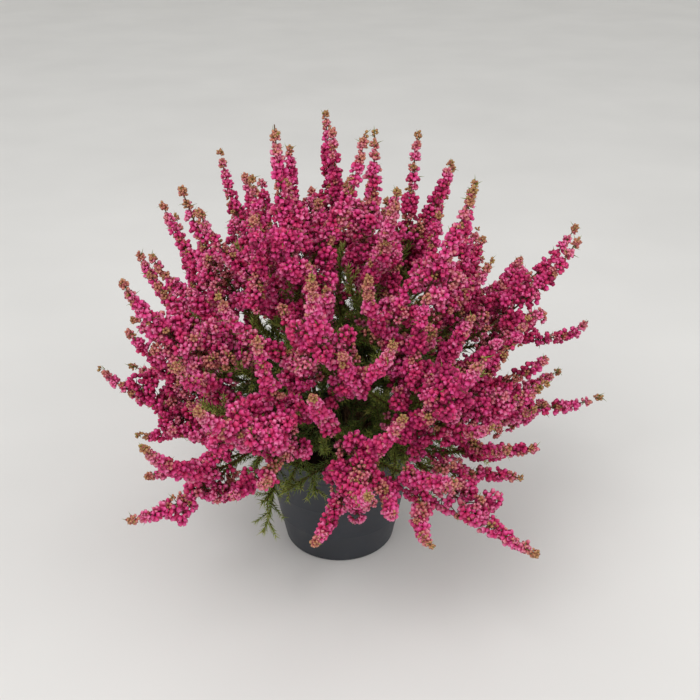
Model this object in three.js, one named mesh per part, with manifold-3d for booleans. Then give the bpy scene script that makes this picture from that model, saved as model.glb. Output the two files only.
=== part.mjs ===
// A potted cape heath: a nursery pot of peat holds three rooted cuttings. Each branches into woody stems,
// each woody stem goes on as a leafy stem, and each leafy stem ends in a spray of small pink bells.
// Millimetres, +Z up. The origin is the middle of the pot's underside, and the photo's viewer stands at -Y.
import * as THREE from 'three';
import { mergeVertices } from 'three/addons/utils/BufferGeometryUtils.js';
import Module from 'manifold-3d';

// The pot
const rimRadius = 60;
const potHeight = 92;
const rimBand = 11;
const rimStep = 1.9;
const baseRadius = 42;
const wall = 1.5;
const footHeight = 1.6;
const footWidth = 7;
const padRadius = 14;
const potSides = 28;
const drainHoles = 6;
const drainRadius = 4;
const drainRing = 24;

// The peat, and the gap that pieces keep where they touch
const soilTop = 80;
const soilBump = 1.5;
const soilSides = 20;
const gap = 0.3;

// The cuttings
const cuttings = 3;
const rootRing = 15;
const rootDepth = 26;
const trunkTop = 13;
const trunkRadius = 4.2;
const woodRadius = 2;

// The bush: an egg-shaped outline round the middle of the fan of stems
const fanHeight = 105;
const bushRadius = 178;
const bushHeight = 213;
const sprayCount = 25;
const sideSpires = 2;
const lowestRise = 0;
const goldenAngle = Math.PI * (3 - Math.sqrt(5));
const firstTurn = 5.4;
const sideTurn = 2.1;
const sideSpread = 0.3;
const farthestSide = 0.42;
const crowding = 0.82;
const lowSpacing = 0.31;
const topSpacing = 0.18;
const spacingRounds = 20;
const shortestMain = 0.97;
const longestMain = 1.17;
const shortestSide = 0.84;
const longestSide = 1.05;
const tipWander = 0.2;

// Where a stem turns from wood to leaf and from leaf to flower, as a share of its length. Low stems keep
// their leaves for longer than upright ones.
const woodEnd = 0.21;
const lowLeafEnd = 0.36;
const topLeafEnd = 0.36;

// Bells and needles, in rings round their stems. The hollows between bells are a share of the bells' reach.
const coreBells = 6;
const spireBells = 3;
const bellPitch = 0.92;
const mainFullness = 12.5;
const sideFullness = 10.5;
const coreFullness = 30;
const topFullness = 38;
const sideCore = 18;
const coreEnd = 0.74;
const sideCoreEnd = 0.62;
const bellRelief = 0.42;
const leastPitch = 10;
const mostPitch = 14;
const leastReach = 1.6;
const lowestBell = 6;
const needlesPerRing = 3;
const needleReach = 7.5;
const needlePitch = 6;
const leafCore = 1.4;
const clearance = 0.8;

const wasm = await Module();
wasm.setup();

const up = new THREE.Vector3(0, 0, 1);

// A seeded draw, the same on every run
let seed = 3;
function draw(low, high) {
  seed = (seed * 1664525 + 1013904223) % 4294967296;
  return low + (high - low) * (seed / 4294967296);
}

function mix(a, b, share) {
  return a + (b - a) * share;
}

// Joining and cutting

function solidOf(geometry) {
  const bare = geometry.clone();
  bare.deleteAttribute('normal');
  bare.deleteAttribute('uv');
  const merged = mergeVertices(bare, 1e-4);
  return new wasm.Manifold(new wasm.Mesh({
    numProp: 3,
    vertProperties: new Float32Array(merged.attributes.position.array),
    triVerts: new Uint32Array(merged.index.array),
  }));
}

function geometryOf(solid) {
  const mesh = solid.getMesh();
  const geometry = new THREE.BufferGeometry();
  geometry.setAttribute('position', new THREE.BufferAttribute(new Float32Array(mesh.vertProperties), 3));
  geometry.setIndex(new THREE.BufferAttribute(new Uint32Array(mesh.triVerts), 1));
  geometry.computeVertexNormals();
  return geometry;
}

// The largest body of the join is the outer skin, so a hollow sealed between stems is filled
function joined(solids) {
  const bodies = solids.reduce((whole, next) => whole.add(next)).decompose();
  return bodies.reduce((largest, body) => (body.volume() > largest.volume() ? body : largest));
}

function node(name, solid, material) {
  const mesh = new THREE.Mesh(geometryOf(solid), material);
  mesh.name = name;
  return mesh;
}

// Turned shapes are drawn as radius and height, and three.js spins them round Y
function turned(profile, sides) {
  const points = profile.map(([radius, height]) => new THREE.Vector2(radius, height));
  return solidOf(new THREE.LatheGeometry(points, sides).rotateX(Math.PI / 2));
}

function post(x, y, low, high, radius, sides) {
  const cylinder = new THREE.CylinderGeometry(radius, radius, high - low, sides).rotateX(Math.PI / 2);
  return solidOf(cylinder.translate(x, y, (low + high) / 2));
}

// The pot

function potRadiusAt(height) {
  return mix(baseRadius, rimRadius - rimStep - 0.9, height / (potHeight - rimBand));
}

function pot() {
  const floor = footHeight + wall;
  const bandLow = potHeight - rimBand;
  const outer = [
    [0, 0],
    [padRadius, 0],
    [padRadius + footHeight, footHeight],
    [baseRadius - footWidth - footHeight, footHeight],
    [baseRadius - footWidth, 0],
    [baseRadius - 1, 0],
    [baseRadius, 1],
    [potRadiusAt(bandLow), bandLow],
    [rimRadius - 0.9, bandLow + 0.6],
    [rimRadius, potHeight - 0.7],
    [rimRadius - 0.4, potHeight],
  ];
  const inner = [
    [rimRadius - wall, potHeight],
    [rimRadius - wall - 0.9, bandLow + 1.6],
    [potRadiusAt(bandLow) - wall, bandLow],
    [potRadiusAt(floor) - wall, floor],
    [0, floor],
  ];
  let body = turned([...outer, ...inner], potSides);
  for (let k = 0; k < drainHoles; k++) {
    const turn = (k + 0.5) * 2 * Math.PI / drainHoles;
    const hole = post(Math.cos(turn) * drainRing, Math.sin(turn) * drainRing, -1, floor + 1, drainRadius, 6);
    body = body.subtract(hole);
  }
  return body;
}

// The peat fills the pot to a little under the rim band, and its crumbly top is a low relief

function peatHeight(radius, turn) {
  return soilTop + soilBump * (Math.sin(radius * 0.31 + 2 * turn) * Math.cos(3 * turn - radius * 0.12) - 0.4);
}

function peat() {
  const floor = footHeight + wall + gap;
  const edge = potRadiusAt(soilTop) - wall - gap - 0.5;
  const rings = [
    { radius: potRadiusAt(floor) - wall - gap - 0.5, height: () => floor },
    { radius: edge, height: () => soilTop - soilBump },
    { radius: edge * 0.7, height: peatHeight },
    { radius: edge * 0.35, height: peatHeight },
  ];
  const layers = rings.map(({ radius, height }) => {
    const layer = [];
    for (let side = 0; side < soilSides; side++) {
      const turn = side * 2 * Math.PI / soilSides;
      layer.push(new THREE.Vector3(Math.cos(turn) * radius, Math.sin(turn) * radius, height(radius, turn)));
    }
    return layer;
  });
  return closedColumn(new THREE.Vector3(0, 0, floor), layers, new THREE.Vector3(0, 0, soilTop), 0);
}

// A closed shape from a foot point through rings of points to a tip point. Each band between two rings takes
// the shorter way across, so the hollows of one ring meet those of the next and each bell stands alone. The
// slack is how many steps one ring may run ahead of the other: none on a plain tube.
function closedColumn(foot, rings, tip, slack) {
  const places = [foot, ...rings.flat(), tip];
  const faces = [];
  const starts = [1];
  for (const ring of rings) starts.push(starts[starts.length - 1] + ring.length);
  const last = starts[rings.length];
  const at = (row, step) => starts[row] + step % rings[row].length;
  for (let step = 0; step < rings[0].length; step++) faces.push(0, at(0, step + 1), at(0, step));
  const top = rings.length - 1;
  for (let step = 0; step < rings[top].length; step++) faces.push(last, at(top, step), at(top, step + 1));
  for (let row = 0; row < top; row++) {
    const lowCount = rings[row].length;
    const highCount = rings[row + 1].length;
    let low = 0;
    let high = 0;
    while (low < lowCount || high < highCount) {
      const [a, b] = [at(row, low), at(row, low + 1)];
      const [c, d] = [at(row + 1, high + 1), at(row + 1, high)];
      const lead = low / lowCount - high / highCount;
      let takeLow = places[b].distanceTo(places[d]) <= places[a].distanceTo(places[c]);
      if (Math.abs(lead) > (slack + 0.2) / Math.max(lowCount, highCount)) takeLow = lead < 0;
      if (high === highCount || (takeLow && low < lowCount)) {
        faces.push(a, b, d);
        low++;
      } else {
        faces.push(a, c, d);
        high++;
      }
    }
  }
  const geometry = new THREE.BufferGeometry().setFromPoints(places);
  geometry.setIndex(faces);
  return solidOf(geometry);
}

// The directions of the spires: sprays on a golden-angle lattice, side spires beside their own main one, and
// then all of them pushed apart until they cover the bush evenly.
function spireDirections() {
  const spires = [];
  for (let spray = 0; spray < sprayCount; spray++) {
    const share = (spray + 0.4) / (sprayCount - 0.5);
    const rise = mix(lowestRise, 1, Math.pow(share, crowding));
    const turn = firstTurn + spray * goldenAngle;
    const level = Math.sqrt(1 - rise * rise);
    const main = new THREE.Vector3(level * Math.cos(turn), level * Math.sin(turn), rise);
    const across = main.clone().cross(up).normalize();
    const along = main.clone().cross(across);
    spires.push({ spray, leader: null, way: main });
    for (let side = 0; side < sideSpires; side++) {
      const spin = spray * sideTurn + side * Math.PI * 2 / (sideSpires + 0.4);
      const way = main.clone().addScaledVector(across, sideSpread * Math.cos(spin));
      way.addScaledVector(along, sideSpread * Math.sin(spin));
      spires.push({ spray, leader: main, way: way.normalize() });
    }
  }
  for (let round = 0; round < spacingRounds; round++) {
    for (const spire of spires) {
      const push = new THREE.Vector3();
      const spacing = mix(lowSpacing, topSpacing, spire.way.z);
      for (const other of spires) {
        const away = spire.way.clone().sub(other.way);
        const distance = away.length();
        if (distance > 0 && distance < spacing) push.addScaledVector(away, 0.3 * (spacing / distance - 1));
      }
      if (spire.leader && spire.way.distanceTo(spire.leader) > farthestSide) {
        push.add(spire.leader.clone().sub(spire.way).multiplyScalar(0.25));
      }
      spire.way.add(push);
      spire.way.z = Math.max(spire.way.z, lowestRise);
      spire.way.normalize();
    }
  }
  return spires;
}

// How far the bush reaches that way from the middle of the fan, with shallow lobes round it
function reachAlong(way) {
  const level = Math.hypot(way.x, way.y);
  const turn = Math.atan2(way.y, way.x);
  const lobes = 1 + level * (0.05 * Math.sin(3 * turn + 0.8) + 0.04 * Math.sin(5 * turn));
  return lobes / Math.hypot(level / bushRadius, way.z / bushHeight);
}

function bend(start, startWay, end, endWay, startShare, endShare) {
  const span = start.distanceTo(end);
  const first = start.clone().addScaledVector(startWay, span * startShare);
  const second = end.clone().addScaledVector(endWay, -span * endShare);
  return new THREE.CubicBezierCurve3(start, first, second, end);
}

// One spray is a main stem from its cutting to its tip, with side spires that leave it where it flowers
function sprays() {
  const list = [];
  for (const spire of spireDirections()) {
    const lift = mix(0.3, 1, Math.min(1, Math.max(0, (spire.way.z - lowestRise) / 0.35)));
    const tipWay = spire.way.clone().addScaledVector(up, lift);
    tipWay.add(new THREE.Vector3(draw(-tipWander, tipWander), draw(-tipWander, tipWander), 0)).normalize();
    if (!spire.leader) {
      const turn = Math.atan2(spire.way.y, spire.way.x);
      const cutting = Math.floor((turn / (2 * Math.PI) + 1) * cuttings) % cuttings;
      const rootTurn = (cutting + 0.5) * 2 * Math.PI / cuttings;
      const rise = Math.max(0, spire.way.z);
      const start = new THREE.Vector3(Math.cos(rootTurn) * rootRing, Math.sin(rootTurn) * rootRing, 0);
      start.z = soilTop + mix(4, trunkTop - 2, rise);
      const tip = spire.way.clone().multiplyScalar(reachAlong(spire.way) * draw(shortestMain, longestMain));
      tip.z += fanHeight;
      const startWay = spire.way.clone().multiplyScalar(0.6);
      startWay.addScaledVector(up, mix(1, 0.6, rise)).normalize();
      const leafEnd = mix(lowLeafEnd, topLeafEnd, rise);
      list.push({ cutting, rise, leafEnd, main: bend(start, startWay, tip, tipWay, 0.36, 0.4), sides: [] });
    } else {
      const { main, leafEnd, sides } = list[spire.spray];
      const leaving = leafEnd + draw(0.03, 0.12);
      const start = main.getPoint(leaving);
      const tip = spire.way.clone().multiplyScalar(reachAlong(spire.way) * draw(shortestSide, longestSide));
      tip.z += fanHeight;
      sides.push(bend(start, main.getTangent(leaving), tip, tipWay, 0.26, 0.42));
    }
  }
  return list;
}

// Distances to the neighbours, so that no spray or stem runs into another

const samples = 20;

function sampled(curve, from, to) {
  const points = [];
  for (let k = 0; k <= samples; k++) points.push(curve.getPoint(mix(from, to, k / samples)));
  return points;
}

function distanceToLine(point, points) {
  const segment = new THREE.Line3();
  const nearest = new THREE.Vector3();
  let least = Infinity;
  for (let k = 0; k + 1 < points.length; k++) {
    segment.set(points[k], points[k + 1]).closestPointToPoint(point, true, nearest);
    least = Math.min(least, nearest.distanceTo(point));
  }
  return least;
}

const bush = sprays();
const flowerLines = [];
const leafLines = [];
const woodLines = [];
bush.forEach((spray, index) => {
  woodLines.push({ owner: index, cutting: spray.cutting, points: sampled(spray.main, 0, woodEnd) });
  leafLines.push({ owner: index, points: sampled(spray.main, woodEnd, spray.leafEnd) });
  flowerLines.push({ owner: index, points: sampled(spray.main, spray.leafEnd, 1) });
  for (const side of spray.sides) flowerLines.push({ owner: index, points: sampled(side, 0, 1) });
});

function nearest(lines, point, owner) {
  let least = Infinity;
  for (const line of lines) {
    if (line.owner !== owner) least = Math.min(least, distanceToLine(point, line.points));
  }
  return least;
}

// The distance to the pot's outside, worked out in the plane through the pot's axis
function distanceToPot(point) {
  const radius = Math.hypot(point.x, point.y);
  const outline = [[baseRadius, 0], [potRadiusAt(potHeight - rimBand), potHeight - rimBand],
    [rimRadius, potHeight - rimBand], [rimRadius, potHeight], [rimRadius - wall, potHeight]];
  const corners = outline.map(([x, z]) => new THREE.Vector3(x, 0, z));
  return distanceToLine(new THREE.Vector3(radius, 0, point.z), corners);
}

// A bell may reach out while it is nearer to its own spray than to any other, clear of leaves, wood and pot
function bellFits(place, owner) {
  const own = nearest(flowerLines.filter((line) => line.owner === owner), place);
  return own < nearest(flowerLines, place, owner) * 0.94 - 0.5
    && nearest(leafLines, place, owner) > needleReach + clearance
    && nearest(woodLines, place, owner) > woodRadius + clearance
    && distanceToPot(place) > clearance
    && place.z > lowestBell;
}

function needleFits(place, owner) {
  const own = nearest(leafLines.filter((line) => line.owner === owner), place);
  return own < nearest(leafLines, place, owner) * 0.9 - 0.3
    && nearest(flowerLines, place, owner) > leastReach + clearance
    && nearest(woodLines, place, owner) > woodRadius + clearance
    && distanceToPot(place) > clearance;
}

function reachFrom(centre, direction, wanted, least, fits, owner) {
  const place = new THREE.Vector3();
  for (let reach = wanted; reach > least; reach *= 0.88) {
    if (fits(place.copy(centre).addScaledVector(direction, reach), owner)) return reach;
  }
  return least;
}

// Rings along a curve, each carried from the last without twisting. ringAt gives a ring's points and the
// distance to the next ring.
function column(curve, from, to, slack, ringAt) {
  const rings = [];
  const normal = new THREE.Vector3();
  let share = from;
  while (share < to) {
    const centre = curve.getPoint(share);
    const tangent = curve.getTangent(share);
    if (share === from) normal.set(tangent.y, -tangent.x, 0.01);
    normal.addScaledVector(tangent, -normal.dot(tangent)).normalize();
    const binormal = tangent.clone().cross(normal);
    const sideways = (turn) => {
      return normal.clone().multiplyScalar(Math.cos(turn)).addScaledVector(binormal, Math.sin(turn));
    };
    const along = (share - from) / (to - from);
    const { points, pitch } = ringAt({ centre, tangent, sideways, row: rings.length, along });
    rings.push(points);
    const speed = curve.getPoint(share + 0.01).distanceTo(curve.getPoint(share - 0.01)) / 0.02;
    share += pitch / speed;
  }
  return closedColumn(curve.getPoint(from), rings, curve.getPoint(to), slack);
}

// Bells or needles are studs: points and hollows take turns round each ring, and each ring is turned one step
function studs(ring, perRing, sizeOf) {
  const points = [];
  for (let step = 0; step < perRing * 2; step++) {
    const outward = ring.sideways(step * Math.PI / perRing + draw(-0.12, 0.12));
    const { radius, forward } = sizeOf(outward, (ring.row + step) % 2 === 0);
    points.push(ring.centre.clone().addScaledVector(outward, radius).addScaledVector(ring.tangent, forward));
  }
  return points;
}

// Bells crowd in a thick core at the foot of each spire, which then narrows to its tip
function mainShape(along, rise) {
  const core = mix(coreFullness, topFullness, rise) * Math.min(1, 0.2 + along / 0.2);
  return Math.max(core * Math.max(0, 1 - Math.pow(along / coreEnd, 3)), mainFullness * spireShape(along));
}

function sideShape(along) {
  const core = sideCore * Math.max(0, 1 - Math.pow(along / sideCoreEnd, 3));
  return Math.max(core, sideFullness * spireShape(along)) * Math.min(1, 0.3 + along / 0.35);
}

function spireShape(along) {
  return 1 - 0.78 * Math.pow(Math.max(0, (along - 0.4) / 0.6), 1.5);
}

// A spire's first band may be a long plain neck, where it is sunk in the core
function bells(curve, from, shapeAt, neckShare, owner) {
  const neck = curve.getLength() * (1 - from) * neckShare;
  return column(curve, from, 1, 1, (ring) => {
    const full = shapeAt(ring.along);
    const points = studs(ring, full > mainFullness ? coreBells : spireBells, (outward, mouth) => {
      const wanted = full * (mouth ? draw(0.86, 1.06) : 1 - bellRelief);
      const radius = reachFrom(ring.centre, outward, wanted, leastReach, bellFits, owner);
      return { radius, forward: mouth ? -radius * 0.12 : 0 };
    });
    if (ring.along < neckShare / 2) return { points, pitch: neck };
    return { points, pitch: Math.min(mostPitch, Math.max(leastPitch, full * bellPitch)) };
  });
}

function flowerSpray(spray, owner) {
  const from = spray.leafEnd + gap / spray.main.getLength();
  const pieces = [bells(spray.main, from, (along) => mainShape(along, spray.rise), 0, owner)];
  for (const side of spray.sides) pieces.push(bells(side, 0, sideShape, 0.25, owner));
  return joined(pieces);
}

function leafyStem(spray, owner) {
  const from = woodEnd + gap / spray.main.getLength();
  return column(spray.main, from, spray.leafEnd, 1, (ring) => {
    const points = studs(ring, needlesPerRing, (outward, point) => {
      const bare = ring.row === 0 || ring.along > 0.88 || !point;
      if (bare) return { radius: leafCore, forward: 0 };
      const wanted = needleReach * draw(0.8, 1);
      return { radius: reachFrom(ring.centre, outward, wanted, leafCore, needleFits, owner), forward: 1.8 };
    });
    return { points, pitch: needlePitch };
  });
}

// A woody stem is a plain tapering tube
function woodyStem(curve, to, startRadius, endRadius, sides, rows) {
  const pitch = curve.getLength() * to / rows;
  return column(curve, 0, to - 0.01, 0, (ring) => {
    const radius = mix(startRadius, endRadius, ring.along);
    const points = [];
    for (let side = 0; side < sides; side++) {
      points.push(ring.centre.clone().addScaledVector(ring.sideways(side * 2 * Math.PI / sides), radius));
    }
    return { points, pitch };
  });
}

function rootPlace(cutting) {
  const turn = (cutting + 0.5) * 2 * Math.PI / cuttings;
  return [Math.cos(turn) * rootRing, Math.sin(turn) * rootRing];
}

function woodyCrown(cutting) {
  const [x, y] = rootPlace(cutting);
  const foot = new THREE.Vector3(x, y, soilTop - rootDepth);
  const head = new THREE.Vector3(x, y, soilTop + trunkTop);
  const trunk = bend(foot, up, head, up, 0.3, 0.3);
  const pieces = [woodyStem(trunk, 1, trunkRadius, trunkRadius * 0.7, 6, 4)];
  for (const spray of bush) {
    if (spray.cutting === cutting) {
      pieces.push(woodyStem(spray.main, woodEnd, woodRadius, woodRadius * 0.75, 3, 2));
    }
  }
  return joined(pieces);
}

function plantedPeat() {
  let solid = peat();
  for (let cutting = 0; cutting < cuttings; cutting++) {
    const [x, y] = rootPlace(cutting);
    const low = soilTop - rootDepth - gap;
    solid = solid.subtract(post(x, y, low, soilTop + 10, trunkRadius + clearance, 10));
  }
  return solid;
}

// Materials

const potPlastic = new THREE.MeshStandardMaterial({ color: 0x2c2f34, roughness: 0.5, metalness: 0 });
const peatBrown = new THREE.MeshStandardMaterial({ color: 0x2a1d14, roughness: 1, metalness: 0 });
const bark = new THREE.MeshStandardMaterial({ color: 0x5b3f2a, roughness: 0.9, metalness: 0 });
const needleGreen = new THREE.MeshStandardMaterial({ color: 0x5d6b2c, roughness: 0.7, metalness: 0 });
const bellPink = new THREE.MeshStandardMaterial({ color: 0xb23a68, roughness: 0.6, metalness: 0 });

// The whole plant

const plant = new THREE.Group();
plant.add(node('pot', pot(), potPlastic));
plant.add(node('peat', plantedPeat(), peatBrown));
for (let cutting = 0; cutting < cuttings; cutting++) {
  plant.add(node(`woody_crown_${cutting + 1}`, woodyCrown(cutting), bark));
}
bush.forEach((spray, index) => {
  const number = String(index + 1).padStart(2, '0');
  plant.add(node(`leafy_stem_${number}`, leafyStem(spray, index), needleGreen));
  plant.add(node(`flower_spray_${number}`, flowerSpray(spray, index), bellPink));
});

export default plant;
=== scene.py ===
import math

import bpy
import numpy as np
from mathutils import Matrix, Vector
from mathutils.bvhtree import BVHTree


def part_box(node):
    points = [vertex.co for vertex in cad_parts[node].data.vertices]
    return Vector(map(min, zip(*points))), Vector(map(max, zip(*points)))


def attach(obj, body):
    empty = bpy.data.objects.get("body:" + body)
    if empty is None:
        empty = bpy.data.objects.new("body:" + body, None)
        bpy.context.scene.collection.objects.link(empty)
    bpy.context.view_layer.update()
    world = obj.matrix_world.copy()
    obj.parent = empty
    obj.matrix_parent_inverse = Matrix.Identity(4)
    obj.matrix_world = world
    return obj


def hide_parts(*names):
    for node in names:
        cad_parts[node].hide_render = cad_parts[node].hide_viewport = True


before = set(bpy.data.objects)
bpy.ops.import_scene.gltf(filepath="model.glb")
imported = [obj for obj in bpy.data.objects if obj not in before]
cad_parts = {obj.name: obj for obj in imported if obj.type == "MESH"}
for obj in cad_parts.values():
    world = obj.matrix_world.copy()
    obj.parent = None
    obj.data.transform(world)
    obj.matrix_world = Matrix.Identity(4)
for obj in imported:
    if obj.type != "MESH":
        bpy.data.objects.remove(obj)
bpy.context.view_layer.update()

# Metres throughout, in the plant's own frame: +Z up, the pot stands on z = 0, the viewer stands at -Y.
up = np.array([0.0, 0.0, 1.0])
slant = np.array([0.37, 0.21, 0.9])  # a way that no stem runs along
mapName = "OFBake"
mapCaps = (0.03, 0.93)  # the two ends of a pattern lie outside these heights of the map
curveSteps = 200
anyTurn = (0, 6)  # in radians


# Small helpers that every piece uses

def mix(a, b, share):
    return a + (b - a) * share


def unit(ways):
    return ways / np.maximum(np.linalg.norm(ways, axis=-1, keepdims=True), 1e-12)


def setMode(mode):
    bpy.ops.object.mode_set(mode=mode)


def deselectAll():
    if bpy.context.object and bpy.context.object.mode != "OBJECT":
        setMode("OBJECT")
    bpy.ops.object.select_all(action="DESELECT")


def selectOnly(*pieces):
    deselectAll()
    for piece in pieces:
        piece.select_set(True)
    bpy.context.view_layer.objects.active = pieces[0]


def joinPieces(*pieces):
    selectOnly(*pieces)
    bpy.ops.object.join()
    return pieces[0]


def editMesh(selection):
    setMode("EDIT")
    bpy.ops.mesh.select_all(action=selection)


def newObject(name, data):
    made = bpy.data.objects.new(name, data)
    bpy.context.scene.collection.objects.link(made)
    return made


def meshArrays(piece):
    mesh = piece.data
    mesh.calc_loop_triangles()
    places = np.empty(len(mesh.vertices) * 3)
    mesh.vertices.foreach_get("co", places)
    faces = np.empty(len(mesh.loop_triangles) * 3, np.int32)
    mesh.loop_triangles.foreach_get("vertices", faces)
    return places.reshape(-1, 3), faces.reshape(-1, 3)


def crossFrames(ways, turns):
    # three axes for each way: two across it, turned by an angle, and the way itself
    helper = np.where(np.abs(ways[:, 2:3]) < 0.9, up, np.array([1.0, 0.0, 0.0]))
    side = unit(np.cross(helper, ways))
    other = np.cross(ways, side)
    turns = np.broadcast_to(turns, len(ways))[:, None]
    cos, sin = np.cos(turns), np.sin(turns)
    return np.stack([side * cos + other * sin, other * cos - side * sin, ways], axis=2)


# How the bush grows: the same rule as the frame's stems, with the same draws in the same order

bush = {
    "seed": 3, "soilTop": 0.080, "fanHeight": 0.105,
    "cuttings": 3, "rootRing": 0.015, "rootDepth": 0.026, "trunkTop": 0.013,
    "radius": 0.178, "height": 0.213, "lobes": ((0.05, 3, 0.8), (0.04, 5, 0)),  # depth, count, turn
    "sprays": 25, "firstStep": 0.4, "lastStep": 0.5, "lowestRise": 0.0, "firstTurn": 5.4,
    "sideSpires": 2, "sideFan": 0.4, "sideTurn": 2.1, "sideSpread": 0.3, "farthestSide": 0.42,
    "crowding": 0.82, "spacing": (0.31, 0.18), "spacingRounds": 20, "push": 0.3, "pull": 0.25,
    "mainReach": (0.97, 1.17), "sideReach": (0.84, 1.05), "sideLeaving": (0.03, 0.12),
    "tipWander": 0.2, "tipLift": (0.3, 1), "fullLiftAt": 0.35,
    "lowestFoot": 0.004, "footSink": 0.002, "footLean": 0.6,
    "mainBend": (0.36, 0.4), "sideBend": (0.26, 0.42),
    "woodEnd": 0.21, "leafEnd": 0.36, "gap": 0.0003,
}


def seededDraw(seed):
    state = [seed]

    def drawBetween(low, high):
        state[0] = (state[0] * 1664525 + 1013904223) % 4294967296
        return low + (high - low) * (state[0] / 4294967296)
    return drawBetween


def spireDirections():
    spires = []
    goldenAngle = math.pi * (3 - math.sqrt(5))
    for spray in range(bush["sprays"]):
        share = (spray + bush["firstStep"]) / (bush["sprays"] - bush["lastStep"])
        rise = mix(bush["lowestRise"], 1, share ** bush["crowding"])
        turn = bush["firstTurn"] + spray * goldenAngle
        level = math.sqrt(1 - rise * rise)
        main = np.array([level * math.cos(turn), level * math.sin(turn), rise])
        across = unit(np.cross(main, up))
        along = np.cross(main, across)
        leader = len(spires)
        spires.append((spray, None, main))
        for side in range(bush["sideSpires"]):
            spin = spray * bush["sideTurn"] + side * math.pi * 2 / (bush["sideSpires"] + bush["sideFan"])
            spread = bush["sideSpread"]
            way = main + across * spread * math.cos(spin) + along * spread * math.sin(spin)
            spires.append((spray, leader, unit(way)))
    ways = np.array([way for _, _, way in spires])
    for _ in range(bush["spacingRounds"]):
        for k, (_, leader, _) in enumerate(spires):
            spacing = mix(*bush["spacing"], ways[k, 2])
            away = ways[k] - ways
            distance = np.linalg.norm(away, axis=1)
            near = (distance > 0) & (distance < spacing)
            push = (away[near] * (bush["push"] * (spacing / distance[near] - 1))[:, None]).sum(0)
            if leader is not None and np.linalg.norm(ways[k] - ways[leader]) > bush["farthestSide"]:
                push = push + (ways[leader] - ways[k]) * bush["pull"]
            moved = ways[k] + push
            moved[2] = max(moved[2], bush["lowestRise"])
            ways[k] = unit(moved)
    return [(spray, leader, ways[k]) for k, (spray, leader, _) in enumerate(spires)]


def reachAlong(way):
    # the bush is half an egg with shallow lobes round it
    level = math.hypot(way[0], way[1])
    turn = math.atan2(way[1], way[0])
    lobes = 1 + level * sum(depth * math.sin(count * turn + shift) for depth, count, shift in bush["lobes"])
    return lobes / math.hypot(level / bush["radius"], way[2] / bush["height"])


def bend(start, startWay, end, endWay, startShare, endShare):
    span = np.linalg.norm(end - start)
    return np.array([start, start + startWay * span * startShare, end - endWay * span * endShare, end])


def pointsOn(curve, shares):
    t = np.asarray(shares, float).reshape(-1, 1)
    a, b, c, d = curve
    return a * (1 - t) ** 3 + b * 3 * t * (1 - t) ** 2 + c * 3 * t * t * (1 - t) + d * t ** 3


def waysOn(curve, shares):
    t = np.asarray(shares, float).reshape(-1, 1)
    a, b, c, d = curve
    return unit((b - a) * 3 * (1 - t) ** 2 + (c - b) * 6 * t * (1 - t) + (d - c) * 3 * t * t)


def branch(owner, leaving, tip, tipWay, bends):
    return bend(pointsOn(owner, [leaving])[0], waysOn(owner, [leaving])[0], tip, tipWay, *bends)


def tipAlong(way, share):
    return way * reachAlong(way) * share + up * bush["fanHeight"]


def onCircle(turn, radius):
    return math.cos(turn) * radius, math.sin(turn) * radius


def rootOf(cutting):
    return onCircle((cutting + 0.5) * 2 * math.pi / bush["cuttings"], bush["rootRing"])


def growSprays():
    draw = seededDraw(bush["seed"])
    wander, lean = bush["tipWander"], bush["footLean"]
    sprays = []
    for spray, leader, way in spireDirections():
        lift = mix(*bush["tipLift"], min(1, max(0, (way[2] - bush["lowestRise"]) / bush["fullLiftAt"])))
        tipWay = unit(way + up * lift + np.array([draw(-wander, wander), draw(-wander, wander), 0]))
        if leader is None:
            turn = math.atan2(way[1], way[0])
            cutting = math.floor((turn / (2 * math.pi) + 1) * bush["cuttings"]) % bush["cuttings"]
            rise = max(0, way[2])
            height = bush["soilTop"] + mix(bush["lowestFoot"], bush["trunkTop"] - bush["footSink"], rise)
            foot = np.array([*rootOf(cutting), height])
            footWay = unit(way * lean + up * mix(1, lean, rise))
            tip = tipAlong(way, draw(*bush["mainReach"]))
            sprays.append({"cutting": cutting, "rise": rise, "way": way, "sides": [],
                           "main": bend(foot, footWay, tip, tipWay, *bush["mainBend"])})
        else:
            owner = sprays[spray]
            leaving = bush["leafEnd"] + draw(*bush["sideLeaving"])
            tip = tipAlong(way, draw(*bush["sideReach"]))
            owner["sides"].append(branch(owner["main"], leaving, tip, tipWay, bush["sideBend"]))
    return sprays


# A stretch of a stem, walked at even steps: places, ways and how far along each one is

def walk(curve, fromShare, toShare, pitch, startAt=0.0):
    shares = np.linspace(fromShare, toShare, curveSteps)
    places = pointsOn(curve, shares)
    lengths = np.concatenate([[0], np.cumsum(np.linalg.norm(np.diff(places, axis=0), axis=1))])
    steps = np.arange(startAt, lengths[-1], pitch)
    at = np.interp(steps, lengths, shares)
    return pointsOn(curve, at), waysOn(curve, at), steps / lengths[-1]


# A growing piece collects the vertices, faces and map places of everything fused into it

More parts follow.
